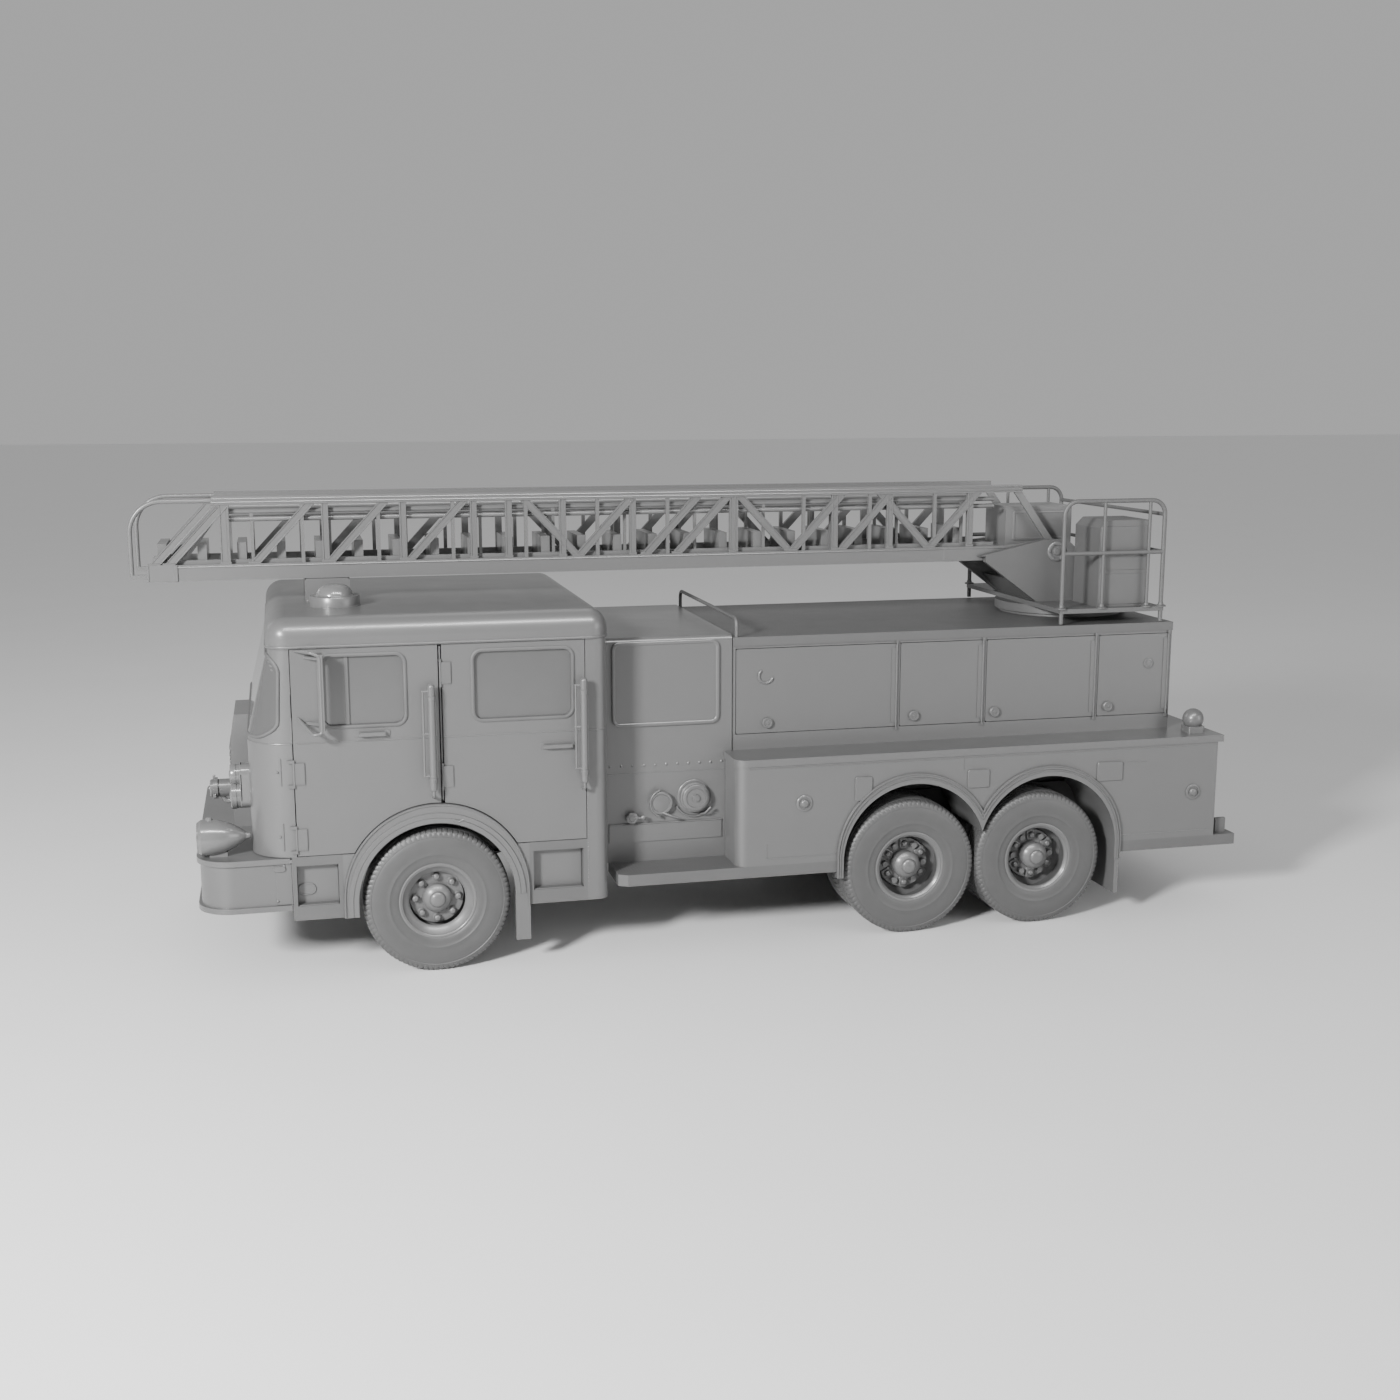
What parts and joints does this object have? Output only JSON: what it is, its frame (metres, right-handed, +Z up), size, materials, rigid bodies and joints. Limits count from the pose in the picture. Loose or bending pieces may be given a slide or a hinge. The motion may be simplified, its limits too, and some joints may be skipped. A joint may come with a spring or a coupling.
{
  "type": "fire engine",
  "caption": "Fire engine with a crew cab, pump house, side lockers with doors, tandem rear axles and a slewing, raising, extending ladder over the rear deck",
  "frame": {"origin": "on the ground in the middle of the bounding box", "axes": "+X to the vehicle's front, +Y to its left, +Z up"},
  "size_m": [8.263, 2.88, 3.318],
  "materials": {
    "chassis_steel": "satin",
    "engine_iron": "matt",
    "body_paint": "satin",
    "glazing": "glossy",
    "tread_metal": "satin",
    "seat_fabric": "matt",
    "dash_plastic": "matt",
    "bumper_paint": "satin",
    "lamp_bright": "glossy",
    "wheel_steel": "satin",
    "tyre": "matt",
    "ladder_steel": "satin"
  },
  "bodies": {
    "chassis": {"chassis_frame": "chassis_steel", "engine_block": "engine_iron", "front_axle": "chassis_steel", "rear_axles": "chassis_steel", "cab_floor": "body_paint", "cab_front": "body_paint", "windscreen": "glazing", "cab_rear": "body_paint", "cab_roof": "body_paint", "cab_steps": "tread_metal", "wheel_arches": "body_paint", "seats": "seat_fabric", "dashboard": "dash_plastic", "front_bumper": "bumper_paint", "nose_panel": "body_paint", "headlamps": "lamp_bright", "siren": "lamp_bright", "beacon": "lamp_bright", "pump_house": "body_paint", "steps": "tread_metal", "lower_body": "body_paint", "locker_walls": "body_paint", "locker_face_left": "body_paint", "locker_face_right": "body_paint", "deck": "tread_metal"},
    "front_door_body_left": {"front_door_left": "body_paint", "front_glass_left": "glazing"},
    "rear_door_body_left": {"rear_door_left": "body_paint", "rear_glass_left": "glazing"},
    "knuckle_left": {"steering_knuckle_left": "chassis_steel"},
    "front_wheel_body_left": {"front_wheel_left": "wheel_steel", "front_tyre_left": "tyre"},
    "rear_wheel_body_1_left": {"rear_wheel_1_left": "wheel_steel", "rear_tyres_1_left": "tyre"},
    "rear_wheel_body_2_left": {"rear_wheel_2_left": "wheel_steel", "rear_tyres_2_left": "tyre"},
    "locker_body_1_left": {"locker_door_1_left": "body_paint"},
    "locker_body_2_left": {"locker_door_2_left": "body_paint"},
    "locker_body_3_left": {"locker_door_3_left": "body_paint"},
    "locker_body_4_left": {"locker_door_4_left": "body_paint"},
    "front_door_body_right": {"front_door_right": "body_paint", "front_glass_right": "glazing"},
    "rear_door_body_right": {"rear_door_right": "body_paint", "rear_glass_right": "glazing"},
    "knuckle_right": {"steering_knuckle_right": "chassis_steel"},
    "front_wheel_body_right": {"front_wheel_right": "wheel_steel", "front_tyre_right": "tyre"},
    "rear_wheel_body_1_right": {"rear_wheel_1_right": "wheel_steel", "rear_tyres_1_right": "tyre"},
    "rear_wheel_body_2_right": {"rear_wheel_2_right": "wheel_steel", "rear_tyres_2_right": "tyre"},
    "locker_body_1_right": {"locker_door_1_right": "body_paint"},
    "locker_body_2_right": {"locker_door_2_right": "body_paint"},
    "locker_body_3_right": {"locker_door_3_right": "body_paint"},
    "locker_body_4_right": {"locker_door_4_right": "body_paint"},
    "turntable": {"platform": "tread_metal", "pedestal": "tread_metal"},
    "bed": {"ladder_bed": "ladder_steel"},
    "fly": {"ladder_fly": "ladder_steel"}
  },
  "joints": [
    {"name": "front_door_left_hinge", "type": "hinge", "parent": "chassis", "child": "front_door_body_left", "pos_m": [3.0655, 1.284, 1.3], "axis": [0, 0, -1], "range_deg": [0, 75]},
    {"name": "rear_door_left_hinge", "type": "hinge", "parent": "chassis", "child": "rear_door_body_left", "pos_m": [2.0625, 1.284, 1.3], "axis": [0, 0, -1], "range_deg": [0, 75]},
    {"name": "steer_left", "type": "hinge", "parent": "chassis", "child": "knuckle_left", "pos_m": [2.1175, 0.95, 0.518], "axis": [0, 0, 1], "range_deg": [-35, 35]},
    {"name": "front_wheel_left_spin", "type": "hinge", "parent": "knuckle_left", "child": "front_wheel_body_left", "pos_m": [2.1175, 1.13, 0.518], "axis": [0, 1, 0], "continuous": true},
    {"name": "rear_wheel_1_left_spin", "type": "hinge", "parent": "chassis", "child": "rear_wheel_body_1_left", "pos_m": [-1.4175, 0.98, 0.518], "axis": [0, 1, 0], "continuous": true},
    {"name": "rear_wheel_2_left_spin", "type": "hinge", "parent": "chassis", "child": "rear_wheel_body_2_left", "pos_m": [-2.4645, 0.98, 0.518], "axis": [0, 1, 0], "continuous": true},
    {"name": "locker_1_left_hinge", "type": "hinge", "parent": "chassis", "child": "locker_body_1_left", "pos_m": [-1.4055, 0.916, 1.8565], "axis": [0, 0, 1], "range_deg": [0, 100]},
    {"name": "locker_2_left_hinge", "type": "hinge", "parent": "chassis", "child": "locker_body_2_left", "pos_m": [-2.1085, 0.916, 1.8565], "axis": [0, 0, 1], "range_deg": [0, 100]},
    {"name": "locker_3_left_hinge", "type": "hinge", "parent": "chassis", "child": "locker_body_3_left", "pos_m": [-3.0515, 0.916, 1.8565], "axis": [0, 0, 1], "range_deg": [0, 100]},
    {"name": "locker_4_left_hinge", "type": "hinge", "parent": "chassis", "child": "locker_body_4_left", "pos_m": [-3.6765, 0.916, 1.8565], "axis": [0, 0, 1], "range_deg": [0, 100]},
    {"name": "front_door_right_hinge", "type": "hinge", "parent": "chassis", "child": "front_door_body_right", "pos_m": [3.0655, -1.284, 1.3], "axis": [0, 0, 1], "range_deg": [0, 75]},
    {"name": "rear_door_right_hinge", "type": "hinge", "parent": "chassis", "child": "rear_door_body_right", "pos_m": [2.0625, -1.284, 1.3], "axis": [0, 0, 1], "range_deg": [0, 75]},
    {"name": "steer_right", "type": "hinge", "parent": "chassis", "child": "knuckle_right", "pos_m": [2.1175, -0.95, 0.518], "axis": [0, 0, 1], "range_deg": [-35, 35]},
    {"name": "front_wheel_right_spin", "type": "hinge", "parent": "knuckle_right", "child": "front_wheel_body_right", "pos_m": [2.1175, -1.13, 0.518], "axis": [0, 1, 0], "continuous": true},
    {"name": "rear_wheel_1_right_spin", "type": "hinge", "parent": "chassis", "child": "rear_wheel_body_1_right", "pos_m": [-1.4175, -0.98, 0.518], "axis": [0, 1, 0], "continuous": true},
    {"name": "rear_wheel_2_right_spin", "type": "hinge", "parent": "chassis", "child": "rear_wheel_body_2_right", "pos_m": [-2.4645, -0.98, 0.518], "axis": [0, 1, 0], "continuous": true},
    {"name": "locker_1_right_hinge", "type": "hinge", "parent": "chassis", "child": "locker_body_1_right", "pos_m": [-1.4055, -0.916, 1.8565], "axis": [0, 0, -1], "range_deg": [0, 100]},
    {"name": "locker_2_right_hinge", "type": "hinge", "parent": "chassis", "child": "locker_body_2_right", "pos_m": [-2.1085, -0.916, 1.8565], "axis": [0, 0, -1], "range_deg": [0, 100]},
    {"name": "locker_3_right_hinge", "type": "hinge", "parent": "chassis", "child": "locker_body_3_right", "pos_m": [-3.0515, -0.916, 1.8565], "axis": [0, 0, -1], "range_deg": [0, 100]},
    {"name": "locker_4_right_hinge", "type": "hinge", "parent": "chassis", "child": "locker_body_4_right", "pos_m": [-3.6765, -0.916, 1.8565], "axis": [0, 0, -1], "range_deg": [0, 100]},
    {"name": "turntable_slew", "type": "hinge", "parent": "chassis", "child": "turntable", "pos_m": [-3.1725, 0, 2.29], "axis": [0, 0, 1], "continuous": true},
    {"name": "ladder_elevation", "type": "hinge", "parent": "turntable", "child": "bed", "pos_m": [-2.9325, 0, 2.79], "axis": [0, -1, 0], "range_deg": [0, 75]},
    {"name": "fly_extension", "type": "slide", "parent": "bed", "child": "fly", "axis": [1, 0, 0], "range_m": [0, 4.5]}
  ],
  "couplings": [
    {"joint": "steer_right", "follows": "steer_left", "ratio": 1}
  ]
}
